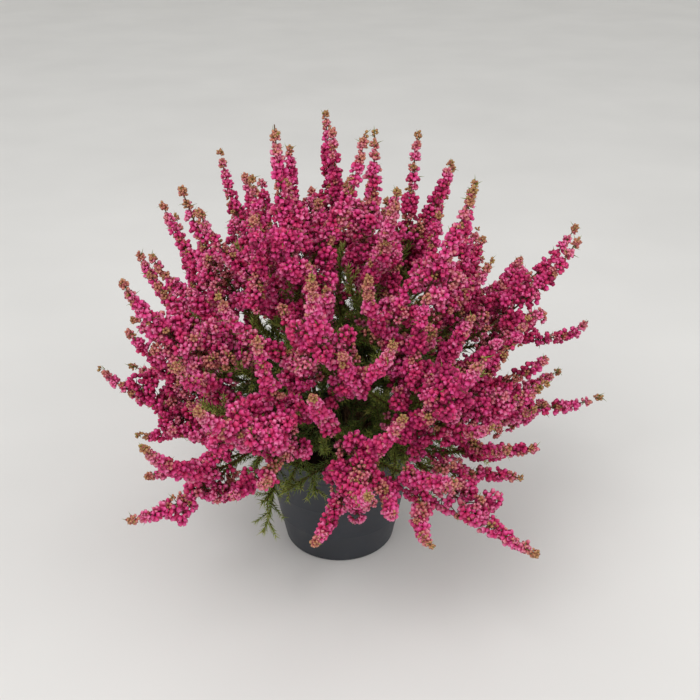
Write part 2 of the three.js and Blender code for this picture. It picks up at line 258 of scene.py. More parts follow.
class Growth:
    def __init__(self):
        self.places, self.faces, self.uvs, self.smooth = [], [], [], []
        self.count = 0

    def add(self, places, faces, uvs, smooth):
        self.places.append(places.reshape(-1, 3))
        self.faces.append(faces.reshape(-1, 3) + self.count)
        self.uvs.append(uvs.reshape(-1, 2))
        self.smooth.append(smooth)
        self.count += len(self.places[-1])

    def finish(self, name, material, node, slotName, mapped=True):
        places = np.concatenate(self.places)
        faces = np.concatenate(self.faces)
        mesh = bpy.data.meshes.new(name)
        mesh.vertices.add(len(places))
        mesh.vertices.foreach_set("co", places.astype(np.float32).ravel())
        mesh.loops.add(len(faces) * 3)
        mesh.loops.foreach_set("vertex_index", faces.astype(np.int32).ravel())
        mesh.polygons.add(len(faces))
        mesh.polygons.foreach_set("loop_start", np.arange(0, len(faces) * 3, 3, dtype=np.int32))
        mesh.polygons.foreach_set("use_smooth", np.concatenate(self.smooth))
        if mapped:
            layer = mesh.uv_layers.new(name=mapName)
            layer.data.foreach_set("uv", np.concatenate(self.uvs).astype(np.float32).ravel())
        mesh.update(calc_edges=True)
        mesh.materials.append(material)
        piece = newObject(name, mesh)
        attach(piece, "root")
        if node:
            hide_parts(node)
        return piece


# A pattern is a small shape modelled once, kept as arrays, and then copied

def patternFrom(piece, width):
    capLow, capHigh = mapCaps
    places, faces = meshArrays(piece)
    turns = np.arctan2(places[:, 1], places[:, 0])
    centres = places[faces].mean(1)
    faceTurns = np.arctan2(centres[:, 1], centres[:, 0])
    off = turns[faces] - faceTurns[:, None]
    off = (off + math.pi) % (2 * math.pi) - math.pi
    onAxis = np.hypot(places[:, 0], places[:, 1])[faces] < 1e-6
    off[onAxis] = 0
    u = (faceTurns[:, None] + off) / (2 * math.pi) * width
    heights = places[faces][:, :, 2] / places[:, 2].max()
    v = mix(capLow, capHigh, heights)
    flat = np.ptp(heights, axis=1) < 0.02  # the end faces get a strip of their own
    spread = (np.sin(turns[faces] * 2 + 1) + 1) / 2
    low = flat & (heights.mean(1) < 0.5)
    high = flat & (heights.mean(1) >= 0.5)
    v[low] = spread[low] * capLow * 0.8
    v[high] = capHigh + 0.02 + spread[high] * (0.98 - capHigh)
    bpy.data.objects.remove(piece, do_unlink=True)
    return {"places": places, "faces": faces, "u": u, "v": v, "smooth": ~flat}


def addCopies(growth, pattern, places, ways, turns, sizes, tints, stretch=1):
    # copies of a pattern, each standing at its place along its way
    count, each = len(places), len(pattern["places"])
    if count == 0:
        return
    scale = np.broadcast_to(sizes, count)[:, None] * np.ones(3)
    scale[:, 2] *= stretch
    local = pattern["places"][None] * scale[:, None, :]
    world = np.einsum("nij,nvj->nvi", crossFrames(ways, turns), local) + places[:, None, :]
    faces = pattern["faces"][None] + (np.arange(count) * each)[:, None, None]
    u = pattern["u"][None] + np.broadcast_to(tints, count)[:, None, None]
    v = np.broadcast_to(pattern["v"], u.shape)
    smooth = np.tile(pattern["smooth"], count)
    growth.add(world, faces, np.stack([u, v], axis=-1), smooth)


def addTube(growth, points, radii, sides, tint, wobble=0.0):
    # a closed tapering tube through points, with its ends drawn to a point
    ways = unit(np.gradient(points, axis=0))
    normal = unit(np.cross(ways[0], np.array([0.3, 0.2, 1.0])))
    rings = []
    turns = np.arange(sides) * 2 * math.pi / sides
    for k, way in enumerate(ways):
        normal = unit(normal - way * normal.dot(way))
        other = np.cross(way, normal)
        radius = radii[k] * (1 + wobble * np.sin(turns * 2 + k * 1.7) * np.cos(k * 0.9 + turns))
        out = np.outer(np.cos(turns), normal) + np.outer(np.sin(turns), other)
        rings.append(points[k] + out * radius[:, None])
    foot = points[0] - ways[0] * radii[0] * 0.5
    tip = points[-1] + ways[-1] * radii[-1]
    places = np.concatenate([[foot], np.concatenate(rings), [tip]])
    faces, uvs = [], []
    rows = len(points)
    width, low, height = 0.02, 0.05, 0.9  # the tube's own strip of the map

    def cornersOf(row, past):
        # the points of one ring, or the points past them, and their places in the map
        steps = np.arange(sides) + past
        across = tint + (steps / sides - 0.5) * width
        uv = np.stack([across, np.full(sides, low + height * row / rows)], 1)
        return 1 + row * sides + steps % sides, uv

    for row in range(rows - 1):
        (a, uvA), (b, uvB) = cornersOf(row, 0), cornersOf(row, 1)
        (d, uvD), (c, uvC) = cornersOf(row + 1, 0), cornersOf(row + 1, 1)
        faces += [np.stack([a, b, c], 1), np.stack([a, c, d], 1)]
        uvs += [np.stack([uvA, uvB, uvC], 1), np.stack([uvA, uvC, uvD], 1)]
    (a, uvA), (b, uvB) = cornersOf(0, 0), cornersOf(0, 1)
    faces.append(np.stack([b, a, np.zeros(sides, int)], 1))
    uvs.append(np.stack([uvB, uvA, cornersOf(-0.04 * rows, 0.5)[1]], 1))
    (a, uvA), (b, uvB) = cornersOf(rows - 1, 0), cornersOf(rows - 1, 1)
    faces.append(np.stack([a, b, np.full(sides, len(places) - 1)], 1))
    uvs.append(np.stack([uvA, uvB, cornersOf(rows, 0.5)[1]], 1))
    faces = np.concatenate(faces)
    growth.add(places, faces, np.concatenate(uvs), np.ones(len(faces), bool))


def addStem(growth, curve, fromShare, toShare, stem, tint):
    places = walk(curve, fromShare, toShare, stem["pitch"])[0]
    radii = np.linspace(*stem["radius"], len(places))
    addTube(growth, places, radii, stem["sides"], tint, stem.get("wobble", 0))


# A filled circle is extruded ring by ring and drawn in or out each time. A ring of no radius is a point.

def turnRings(sides, rings):
    deselectAll()
    radius, height = rings[0]
    bpy.ops.mesh.primitive_circle_add(vertices=sides, radius=radius, fill_type="NGON",
                                      location=(0, 0, height))
    piece = bpy.context.object
    bpy.ops.object.transform_apply(location=True, rotation=True, scale=True)
    editMesh("SELECT")
    for (radiusWas, heightWas), (radius, height) in zip(rings, rings[1:]):
        bpy.ops.mesh.extrude_region_move(TRANSFORM_OT_translate={"value": (0, 0, height - heightWas)})
        if radius == 0:
            bpy.ops.mesh.merge(type="CENTER")
        else:
            size = radius / radiusWas
            bpy.ops.transform.resize(value=(size, size, 1))
    bpy.ops.mesh.select_all(action="SELECT")
    bpy.ops.mesh.normals_make_consistent(inside=False)
    setMode("OBJECT")
    return piece


# The bell, the needle and the twig stand along +Z. Each ring is its share of the length and its radius.

bell = {"length": 0.0043, "sides": 4, "rings": [(1.0, 0.00122), (0.42, 0.00206), (0.0, 0)], "mapWidth": 0.03}
needle = {"length": 0.0052, "sides": 3, "rings": [(0.0, 0.00046), (1.0, 0)], "mapWidth": 0.02,
          "nextWhorl": 0.7, "turnVary": 0.2, "palest": 0.97}
twig = {"length": 1.0, "sides": 3, "rings": [(0.0, 0.0006), (1.0, 0)], "mapWidth": 0.02}


def turnedPattern(shape):
    rings = [(radius, share * shape["length"]) for share, radius in shape["rings"]]
    return patternFrom(turnRings(shape["sides"], rings), shape["mapWidth"])


# Materials

def newMaterial(name, values):
    material = bpy.data.materials.new(name)
    material.use_nodes = True
    tree = material.node_tree
    shader = tree.nodes["Principled BSDF"]
    shader.inputs["Roughness"].default_value = values["roughness"]
    shader.inputs["Specular IOR Level"].default_value = values["specular"]
    return material, tree, shader


def srgb(red, green, blue):
    def linear(value):
        value /= 255
        return value / 12.92 if value <= 0.04045 else ((value + 0.055) / 1.055) ** 2.4
    return (linear(red), linear(green), linear(blue), 1)


def shades(*stops):
    # stops along a ramp: a position, and red, green and blue out of 255
    return [(position, srgb(*color)) for position, *color in stops]


def grey(value):
    return (value, value, value, 1)


def feed(tree, socket, given):
    # a socket gets another node's output, or else a fixed value
    if isinstance(given, bpy.types.NodeSocket):
        tree.links.new(given, socket)
    else:
        socket.default_value = given


def addNode(tree, kind, inputs, **settings):
    # inputs are given by name, or by number where two have one name
    node = tree.nodes.new("ShaderNode" + kind)
    for name, value in settings.items():
        setattr(node, name, value)
    for name, given in inputs.items():
        feed(tree, node.inputs[name], given)
    return node.outputs


def rampOf(tree, given, stops):
    ramp = tree.nodes.new("ShaderNodeValToRGB")
    elements = ramp.color_ramp.elements
    while len(elements) > 1:
        elements.remove(elements[-1])
    elements[0].position, elements[0].color = stops[0]
    for position, color in stops[1:]:
        elements.new(position).color = color
    feed(tree, ramp.inputs["Fac"], given)
    return ramp.outputs["Color"]


def mixColors(tree, factor, first, second, blend="MIX"):
    inputs = {"Factor": factor, "A": first, "B": second}
    return addNode(tree, "Mix", inputs, data_type="RGBA", blend_type=blend)["Result"]


def mathOf(tree, operation, first, second):
    return addNode(tree, "Math", {0: first, 1: second}, operation=operation)["Value"]


def mapPlace(tree):
    # the tint along the map's width, and how far out a point is
    uv = addNode(tree, "UVMap", {}, uv_map=mapName)["UV"]
    split = addNode(tree, "SeparateXYZ", {"Vector": uv})
    return split["X"], split["Y"]


def noiseOf(tree, inputs):
    where = addNode(tree, "TexCoord", {})["Object"]
    return addNode(tree, "TexNoise", {"Vector": where, **inputs})["Fac"]


def grainGroup():
    # bark, peat and plastic share this grain: a noise, and the bump that goes with it
    group = bpy.data.node_groups.new("surfaceGrain", "ShaderNodeTree")
    sockets = [(name, "INPUT", "Float") for name in ("Scale", "Detail", "Coarseness", "Strength", "Depth")]
    sockets += [("Stretch", "INPUT", "Vector"), ("Share", "OUTPUT", "Float"), ("Normal", "OUTPUT", "Vector")]
    for name, side, kind in sockets:
        group.interface.new_socket(name=name, in_out=side, socket_type="NodeSocket" + kind)
    given = group.nodes.new("NodeGroupInput").outputs
    made = group.nodes.new("NodeGroupOutput").inputs
    where = addNode(group, "TexCoord", {})["Object"]
    stretched = addNode(group, "Mapping", {"Vector": where, "Scale": given["Stretch"]})["Vector"]
    noise = addNode(group, "TexNoise", {"Vector": stretched, "Scale": given["Scale"],
                                        "Detail": given["Detail"], "Roughness": given["Coarseness"]})["Fac"]
    bump = {"Strength": given["Strength"], "Distance": given["Depth"], "Height": noise}
    feed(group, made["Share"], noise)
    feed(group, made["Normal"], addNode(group, "Bump", bump)["Normal"])
    return group


def addGrain(tree, shader, values):
    grain = tree.nodes.new("ShaderNodeGroup")
    grain.node_tree = grainNodes
    for name, value in values.items():
        grain.inputs[name].default_value = value
    tree.links.new(grain.outputs["Normal"], shader.inputs["Normal"])
    return grain.outputs["Share"]


def grainyMaterial(name, values):
    material, tree, shader = newMaterial(name, values)
    share = addGrain(tree, shader, values["grain"])
    feed(tree, shader.inputs["Base Color"], rampOf(tree, share, values["colors"]))
    return material


# Along the map's width a bell, a stem or a needle finds its tint, and along its height how far out it is.
petals = {
    "roughness": 0.56, "specular": 0.28,
    "stemTint": 0.03, "needleTint": 0.10, "budTint": 0.22, "bellsFrom": 0.17,
    "bodies": shades(
        (0.00, 92, 66, 44), (0.05, 96, 74, 44), (0.07, 92, 110, 40), (0.14, 140, 150, 62),
        (0.20, 146, 122, 60), (0.30, 180, 102, 88), (0.45, 204, 70, 120), (0.60, 198, 38, 114),
        (0.74, 192, 36, 90), (0.88, 156, 20, 80), (1.00, 112, 12, 50)),
    "mouths": shades(
        (0.00, 92, 66, 44), (0.05, 96, 74, 44), (0.07, 122, 138, 58), (0.14, 168, 172, 88),
        (0.20, 168, 140, 78), (0.30, 206, 140, 118), (0.45, 240, 140, 180), (0.60, 234, 88, 156),
        (0.74, 224, 72, 124), (0.88, 202, 46, 116), (1.00, 154, 26, 76)),
    "towardsMouth": [(0.45, grey(0)), (0.86, grey(1))],
    "calyx": srgb(150, 92, 72), "calyxEnd": [(0.0, grey(1)), (0.1, grey(0.7)), (0.2, grey(0))],
    # the throat colour, a dark deep pink on the cap that closes each bell's mouth, is painted shade of the
    # bell's hollow inside
    "throatShade": srgb(124, 26, 56), "throatShadeEnd": [(0.94, grey(0)), (0.96, grey(1))],
}


def petalMaterial(name):
    material, tree, shader = newMaterial(name, petals)
    tint, outward = mapPlace(tree)
    color = mixColors(tree, rampOf(tree, outward, petals["towardsMouth"]),
                      rampOf(tree, tint, petals["bodies"]), rampOf(tree, tint, petals["mouths"]))
    isBell = mathOf(tree, "GREATER_THAN", tint, petals["bellsFrom"])  # only bells have a calyx and a throat
    # the calyx is the bells' own colour; the throat colour is painted shade on the cap that closes each mouth
    for end in ("calyx", "throatShade"):
        share = mathOf(tree, "MULTIPLY", rampOf(tree, outward, petals[end + "End"]), isBell)
        color = mixColors(tree, share, color, petals[end])
    feed(tree, shader.inputs["Base Color"], color)
    return material


# Along the map's width the green runs from bark and old needles to the young ends of the shoots.
greens = {
    "roughness": 0.5, "specular": 0.4,
    "stemTint": 0.05, "oldest": 0.26, "youngest": 0.9,
    "tints": shades(
        (0.00, 92, 66, 44), (0.10, 100, 80, 46), (0.16, 46, 56, 26), (0.40, 66, 84, 32),
        (0.65, 96, 118, 42), (0.85, 136, 150, 60), (1.00, 172, 176, 92)),
    "tip": srgb(176, 178, 96), "towardsTip": [(0.5, grey(0)), (0.93, grey(0.5))],
}


def needleMaterial(name):
    material, tree, shader = newMaterial(name, greens)
    tint, outward = mapPlace(tree)
    paler = mixColors(tree, rampOf(tree, outward, greens["towardsTip"]),
                      rampOf(tree, tint, greens["tints"]), greens["tip"])
    feed(tree, shader.inputs["Base Color"], paler)
    return material


# The flower sprays. Along each spire twigs leave in a spiral: a thin stretch carries one cluster of bells on
# each, a thick stretch carries small spikes with clusters at their tips and round their sides.

bloom = {
    "seed": 11, "sideFrom": 0.02, "stem": {"pitch": 0.009, "radius": (0.0010, 0.0004), "sides": 5},
    "walkStep": 0.0004, "firstTwig": 0.001, "goldenTurn": 2.39996, "lift": (0.45, 0.8), "liftVary": 0.2,
    "whorl": (4, 6), "whorlStep": 0.0008, "whorlGap": (0.0014, 0.0052), "gapVary": (0.7, 1.3),
    "farthest": 0.06, "noSkin": 0.002, "thinReach": (0.0085, 0.0035),
    "thick": 0.0115, "thickPitch": 0.0022, "keptInside": 0.12, "deepest": 0.54, "shallow": 0.86,
    "budsFrom": 0.8, "budding": 0.12, "budYouth": (0.3, 0.9),
    "patchPitch": 165, "waveBend": (1.3, 1.1), "slantWave": (0.5, 1.7), "late": 0.5, "lateYouth": (0.55, 1),
    "twigRange": (0.72, 1.08), "bellRoom": 0.003, "shortest": 0.0006,
    "spikeRange": (0.7, 1.1), "longSpike": 0.3, "longerBy": 0.011, "longerVary": (0.3, 1),
    "elbow": 0.6, "upturn": 0.35, "covered": 0.62, "mostCovered": 0.018,
    "spikeStep": 0.0060, "stepShare": 0.3, "firstBack": 0.75,
    "besides": 3, "besideTurn": 0.4, "besideLean": 0.8, "besideReach": 0.0040, "besideVary": (0.8, 1.25),
    "besideYouth": 0.7,
    "bells": (3, 5), "open": (0.75, 1.2), "droop": 0.25, "bellSize": (0.8, 1.04), "budSize": 0.55,
    "budCurve": 0.8, "bellOut": 0.0004, "tone": (0.55, 0.8), "clusterDrift": 0.34, "bellDrift": 0.12,
    "tints": (0.2, 0.97),
    "footNeedles": 0.8, "footLean": 0.9, "footBack": (-0.001, 0.003), "footSize": (0.9, 1.25),
    "shaded": 0.5, "inner": {"pitch": 0.0024, "perWhorl": 5, "spread": (0.5, 1.0), "size": (0.95, 1.3),
                             "drift": 0.02},
}


def exposure(place):
    # 0 deep in the bush and 1 at its outside
    out = place - up * bush["fanHeight"]
    distance = np.linalg.norm(out)
    share = distance / reachAlong(out / distance)
    low, high = bloom["deepest"], bloom["shallow"]
    return float(np.clip((share - low) / (high - low), 0, 1))


def lateness(place):
    # patches a few centimetres wide come into flower later than the rest: two crossed waves that bend each
    # other, and a slanting one over them
    x, y, z = place * bloom["patchPitch"]
    (bendX, bendY), (height, pitch) = bloom["waveBend"], bloom["slantWave"]
    crossed = math.sin(x + bendX * math.sin(y)) * math.cos(y + bendY * math.sin(z))
    return crossed + height * math.sin(z * pitch + x)


def skinReach(node):
    # how far a twig may reach: to the skin of the frame's own spray
    places, faces = meshArrays(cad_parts[node])
    skin = BVHTree.FromPolygons([Vector(place) for place in places], [tuple(face) for face in faces])

    def reachOf(place, aim, along):
        hit = skin.ray_cast(Vector(place), Vector(aim), bloom["farthest"])
        return hit[3] if hit[0] is not None else bloom["noSkin"]
    return reachOf


def spikeReach(place, aim, along):
    return mix(*bloom["thinReach"], along)


def twigsOn(curve, fromShare, reachOf, rng):
    # each twig: where it leaves, which way, how long, how young, and whether the spire is thick there
    found = []
    vary = bloom["liftVary"]
    places, ways, alongs = walk(curve, fromShare, 1, bloom["walkStep"], bloom["firstTwig"])
    turn, nextAt, leftInWhorl = rng.uniform(0, 2 * math.pi), 0.0, 0
    for k, (place, way, along) in enumerate(zip(places, ways, alongs)):
        if k * bloom["walkStep"] < nextAt:
            continue
        turn += bloom["goldenTurn"]
        side = unit(np.cross(way, slant))
        out = side * math.cos(turn) + np.cross(way, side) * math.sin(turn)
        lift = mix(*bloom["lift"], along) + rng.uniform(-vary, vary)
        aim = out * math.cos(lift) + way * math.sin(lift)
        reach = reachOf(place, aim, along)
        thick = reach > bloom["thick"]
        if thick:
            nextAt += bloom["thickPitch"]
        elif leftInWhorl > 0:
            nextAt += bloom["whorlStep"]
            leftInWhorl -= 1
        else:
            nextAt += mix(*bloom["whorlGap"], along) * rng.uniform(*bloom["gapVary"])
            leftInWhorl = rng.integers(*bloom["whorl"])
        if thick and rng.random() > mix(bloom["keptInside"], 1, exposure(place + aim * reach)):
            continue
        young = max(0, (along - bloom["budsFrom"]) / (1 - bloom["budsFrom"]))
        if rng.random() < bloom["budding"]:
            young = max(young, rng.uniform(*bloom["budYouth"]))
        if lateness(place + aim * reach) > bloom["late"]:
            young = max(young, rng.uniform(*bloom["lateYouth"]))
        found.append((place, aim, reach, young, thick))
    return found


def clustersOf(twigs, rng):
    # where the clusters sit: on the ends of the twigs, and round the sides of the longer ones
    clusters, stems = [], []
    for place, aim, reach, young, thick in twigs:
        if not thick:
            length = max(reach * rng.uniform(*bloom["twigRange"]) - bloom["bellRoom"], bloom["shortest"])
            clusters.append((place + aim * length, aim, young))
            stems.append((place, aim, length))
            continue
        length = reach * rng.uniform(*bloom["spikeRange"])
        if rng.random() < bloom["longSpike"]:
            length = reach + bloom["longerBy"] * rng.uniform(*bloom["longerVary"])
        # a spike bends up a little towards its tip
        toElbow, toTip = length * bloom["elbow"], length * (1 - bloom["elbow"])
        bent = unit(aim + up * bloom["upturn"])
        elbow = place + aim * toElbow
        tip = elbow + bent * toTip
        stems += [(place, aim, toElbow), (elbow, bent, toTip)]
        clusters.append((tip, bent, young))
        covered = min(length * bloom["covered"], bloom["mostCovered"])
        for step in range(int(covered / bloom["spikeStep"] + bloom["stepShare"])):
            back = (step + bloom["firstBack"]) * bloom["spikeStep"]
            foot = tip - bent * back if back < toTip else elbow - aim * (back - toTip)
            axes = crossFrames(bent[None], rng.uniform(*anyTurn))[0]
            for beside in range(bloom["besides"]):
                vary = bloom["besideTurn"]
                spin = beside * 2 * math.pi / bloom["besides"] + rng.uniform(-vary, vary)
                out = axes[:, 0] * math.cos(spin) + axes[:, 1] * math.sin(spin)
                outWay = unit(out + bent * bloom["besideLean"])
                long = bloom["besideReach"] * rng.uniform(*bloom["besideVary"])
                clusters.append((foot + outWay * long, outWay, young * bloom["besideYouth"]))
                stems.append((foot, outWay, long))
    return clusters, stems


def addClusters(growth, twigs, tone, rng):
    clusters, stems = clustersOf(twigs, rng)
    feet, ways, lengths = (np.array(column) for column in zip(*stems))
    turns = rng.uniform(*anyTurn, len(stems))
    addCopies(growth, twigPattern, feet, ways, turns, 1, petals["stemTint"], lengths)
    ends, aims, youth = (np.array(column) for column in zip(*clusters))
    counts = rng.integers(bloom["bells"][0], bloom["bells"][1] + 1, len(clusters))
    owners = np.repeat(np.arange(len(clusters)), counts)
    order = np.arange(len(owners)) - np.repeat(np.cumsum(counts) - counts, counts)
    turns = order * 2 * math.pi / counts[owners] + np.repeat(rng.uniform(*anyTurn, len(clusters)), counts)
    opening = rng.uniform(*bloom["open"], len(owners))
    axes = crossFrames(aims[owners], turns)
    bellWays = unit(axes[:, :, 0] * np.sin(opening)[:, None] + axes[:, :, 2] * np.cos(opening)[:, None]
                    - up * bloom["droop"])
    young = youth[owners]
    sizes = rng.uniform(*bloom["bellSize"], len(owners)) * mix(1, bloom["budSize"], young)
    drift, vary = rng.uniform(-0.5, 0.5, len(clusters)), bloom["bellDrift"]
    full = tone + bloom["clusterDrift"] * drift[owners] + rng.uniform(-vary, vary, len(owners))
    tints = np.clip(mix(full, petals["budTint"], young ** bloom["budCurve"]), *bloom["tints"])
    addCopies(growth, bellPattern, ends[owners] + bellWays * bloom["bellOut"], bellWays,
              rng.uniform(*anyTurn, len(owners)), sizes, tints)
    # a needle or two stand round the foot of each cluster
    chosen = np.flatnonzero(rng.random(len(clusters)) < bloom["footNeedles"])
    turns = rng.uniform(0, 2 * math.pi, len(chosen))
    axes = crossFrames(aims[chosen], turns)
    needleWays = unit(axes[:, :, 0] * bloom["footLean"] + axes[:, :, 2])
    back = aims[chosen] * rng.uniform(*bloom["footBack"], len(chosen))[:, None]
    addCopies(growth, needlePattern, ends[chosen] - back, needleWays, turns,
              rng.uniform(*bloom["footSize"], len(chosen)), petals["needleTint"])
    return len(owners)


def flowerSpray(index, spray):
    node = f"flower_spray_{index + 1:02d}"
    rng = np.random.default_rng(bloom["seed"] * 100 + index)
    growth, reachOf, tone = Growth(), skinReach(node), rng.uniform(*bloom["tone"])
    spires = [(spray["main"], bush["leafEnd"] + bush["gap"])]
    spires += [(side, bloom["sideFrom"]) for side in spray["sides"]]
    bells = 0
    for curve, fromShare in spires:
        addStem(growth, curve, fromShare, 1, bloom["stem"], petals["stemTint"])
        places, ways, _ = walk(curve, fromShare, 1, bloom["inner"]["pitch"])
        inner = np.array([exposure(place) < bloom["shaded"] for place in places])
        addNeedles(growth, places[inner], ways[inner], petals["needleTint"], bloom["inner"], rng)
        bells += addClusters(growth, twigsOn(curve, fromShare, reachOf, rng), tone, rng)
    return growth.finish(f"heathSpray_{index + 1:02d}", petalLook, node, "bells"), bells


# The leafy stems: needles in whorls, on the stem and on short side shoots

foliage = {
    "seed": 23, "stem": {"pitch": 0.004, "radius": (0.0013, 0.001), "sides": 6},
    "whorls": {"pitch": 0.0019, "perWhorl": 5, "spread": (0.6, 1.1), "size": (0.85, 1.1), "drift": 0.12},
    "firstWhorl": 0.001, "youth": 0.6,
    "shootPitch": 0.0048, "firstShoot": 0.003, "shootLength": (0.007, 0.012), "shootYouth": 0.5,
    "shootTurn": 2.4, "shootLift": 0.8, "liftVary": 0.2,
    "bareFoot": 0.003, "pastTip": 0.002, "tipYouth": 0.3,
    "sideWhorls": {"pitch": 0.0022, "perWhorl": 4, "spread": (0.4, 0.9), "size": (0.7, 1.05), "drift": 0.12},
}


def youngGreen(youth):
    return mix(greens["oldest"], greens["youngest"], youth)


def addNeedles(growth, places, ways, tints, whorls, rng):
    count, drift, vary = whorls["perWhorl"], whorls["drift"], needle["turnVary"]
    tints = np.broadcast_to(tints, len(places))
    owners = np.repeat(np.arange(len(places)), count)
    order = np.tile(np.arange(count), len(places))
    turns = order * 2 * math.pi / count + owners * needle["nextWhorl"] + rng.uniform(-vary, vary, len(owners))
    axes = crossFrames(ways[owners], turns)
    tilt = rng.uniform(*whorls["spread"], len(owners))[:, None]
    needleWays = unit(axes[:, :, 0] * np.sin(tilt) + axes[:, :, 2] * np.cos(tilt))
    tints = np.minimum(tints[owners] + rng.uniform(-drift, drift, len(owners)), needle["palest"])
    sizes = rng.uniform(*whorls["size"], len(owners))
    addCopies(growth, needlePattern, places[owners], needleWays, turns, sizes, tints)


def addSideShoots(growth, places, ways, youth, lengths, rng):
    whorls, vary = foliage["sideWhorls"], foliage["liftVary"]
    for k, (place, way) in enumerate(zip(places, ways)):
        axes = crossFrames(way[None], k * foliage["shootTurn"])[0]
        lift = foliage["shootLift"] + rng.uniform(-vary, vary)
        aim = unit(axes[:, 0] * math.sin(lift) + way * math.cos(lift))
        long = rng.uniform(*lengths)
        addCopies(growth, twigPattern, place[None], aim[None], 0, 1, greens["stemTint"], long)
        along = np.arange(foliage["bareFoot"], long + foliage["pastTip"], whorls["pitch"])
        tints = youngGreen(youth[k] + foliage["tipYouth"] * along / long)
        aims = np.repeat(aim[None], len(along), 0)
        addNeedles(growth, place + aim * along[:, None], aims, tints, whorls, rng)


def leafyStem(index, spray):
    node = f"leafy_stem_{index + 1:02d}"
    rng = np.random.default_rng(foliage["seed"] * 100 + index)
    growth = Growth()
    stretch = (spray["main"], bush["woodEnd"], bush["leafEnd"])
    addStem(growth, *stretch, foliage["stem"], greens["stemTint"])
    places, ways, alongs = walk(*stretch, foliage["whorls"]["pitch"], foliage["firstWhorl"])
    addNeedles(growth, places, ways, youngGreen(alongs * foliage["youth"]), foliage["whorls"], rng)
    places, ways, alongs = walk(*stretch, foliage["shootPitch"], foliage["firstShoot"])
    addSideShoots(growth, places, ways, alongs * foliage["shootYouth"], foliage["shootLength"], rng)
    return growth.finish(f"heathLeaves_{index + 1:02d}", needleLook, node, "needles")


# Thinner shoots grow out of the leafy stems. Some flower at their ends, between the spires. Green ones fill
# the gaps that are left, shorter ones fill the middle, and the lowest bend out over the rim of the pot.

thinShoots = {
    "seed": 47, "tries": 16, "bend": (0.25, 0.4), "riseGain": 1.6,
    "stem": {"pitch": 0.007, "radius": (0.0009, 0.0004), "sides": 4}, "bareFoot": 0.05,
    "whorls": {"pitch": 0.0022, "perWhorl": 5, "spread": (0.4, 0.95), "size": (0.95, 1.35), "drift": 0.12},
    "underFlowers": {"pitch": 0.0022, "perWhorl": 5, "spread": (0.4, 0.95), "size": (0.95, 1.3),
                     "drift": 0.02},
    "sideStretch": (0.1, 0.95), "sidePitch": 0.0062, "sideLength": (0.007, 0.014), "sideYouth": 0.8,
    "opensAt": 0.58,
    "flowering": {"perStem": (2, 2), "spread": (0.2, 0.5), "leaving": (0.4, 1.0), "reach": (0.68, 0.96),
                  "rises": (-0.05, 1), "tipLift": (0.3, 0.9)},
    "between": {"perStem": (2, 1), "spread": (0.25, 0.6), "leaving": (0.1, 0.8), "reach": (0.4, 0.76),
                "rises": (-0.12, 1), "tipLift": (0.3, 0.9)},
    "middle": {"perStem": (4, 4), "spread": (0.3, 1.0), "leaving": (0.0, 0.6), "reach": (0.24, 0.62),
               "rises": (-0.05, 1), "tipLift": (0.2, 0.9)},
    "overRim": {"perStem": (4, 0), "spread": (0.2, 0.7), "leaving": (0.2, 0.9), "reach": (0.42, 0.58),
                "rises": (-0.4, 0.05), "tipLift": (-0.3, 0)},
}


def growShoots(sprays, kind, taken, rng):
    shoots = []
    for spray in sprays:
        way, main = spray["way"], spray["main"]
        across = unit(np.cross(way, up))
        along = np.cross(way, across)
        for _ in range(round(mix(*kind["perStem"], min(1, spray["rise"] * thinShoots["riseGain"])))):
            tried = []
            for _ in range(thinShoots["tries"]):
                spin, spread = rng.uniform(0, 2 * math.pi), rng.uniform(*kind["spread"])
                tried.append(unit(way + (across * math.cos(spin) + along * math.sin(spin)) * spread))
            # the one that has most room is kept
            low, high = kind["rises"]
            room = [min(np.linalg.norm(other - one) for other in taken) if low < one[2] < high else 0
                    for one in tried]
            best = tried[int(np.argmax(room))]
            taken.append(best)
            leaving = mix(bush["woodEnd"], bush["leafEnd"], rng.uniform(*kind["leaving"]))
            tip = tipAlong(best, rng.uniform(*kind["reach"]))
            tipWay = unit(best + up * mix(*kind["tipLift"], spray["rise"]))
            shoots.append(branch(main, leaving, tip, tipWay, thinShoots["bend"]))
    return shoots


def leafyShoots(number, shoots, rng):
    growth = Growth()
    for curve in shoots:
        addStem(growth, curve, 0, 1, thinShoots["stem"], greens["stemTint"])
        places, ways, alongs = walk(curve, thinShoots["bareFoot"], 1, thinShoots["whorls"]["pitch"])
        addNeedles(growth, places, ways, youngGreen(alongs), thinShoots["whorls"], rng)
        places, ways, alongs = walk(curve, *thinShoots["sideStretch"], thinShoots["sidePitch"])
        addSideShoots(growth, places, ways, alongs * thinShoots["sideYouth"], thinShoots["sideLength"], rng)
    return growth.finish(f"greenShoots_{number}", needleLook, None, "needles")


def flowerShoots(number, shoots, rng):
    growth = Growth()
    whorls, opensAt = thinShoots["underFlowers"], thinShoots["opensAt"]
    for curve in shoots:
        addStem(growth, curve, 0, 1, thinShoots["stem"], petals["stemTint"])
        places, ways, _ = walk(curve, thinShoots["bareFoot"], opensAt, whorls["pitch"])
        addNeedles(growth, places, ways, petals["needleTint"], whorls, rng)
        twigs = twigsOn(curve, opensAt, spikeReach, rng)
        addClusters(growth, twigs, rng.uniform(*bloom["tone"]), rng)
    return growth.finish(f"flowerShoots_{number}", petalLook, None, "bells")


# The woody crowns: a short trunk for each cutting and the bare foot of each stem

wood = {
    "trunk": {"rows": 14, "radius": (0.0042, 0.0029), "sides": 12, "wobble": 0.12},
    "sway": 0.0005, "swayTurn": 1.1,
    "stem": {"pitch": 0.003, "radius": (0.002, 0.0014), "sides": 8, "wobble": 0.1},
    "roughness": 0.85, "specular": 0.2,
    "colors": shades((0.3, 52, 36, 24), (0.55, 98, 70, 48), (0.75, 140, 112, 84)),
    "grain": {"Scale": 900, "Detail": 6, "Coarseness": 0.5, "Strength": 0.6, "Depth": 0.0004,
              "Stretch": (1, 1, 0.25)},
}


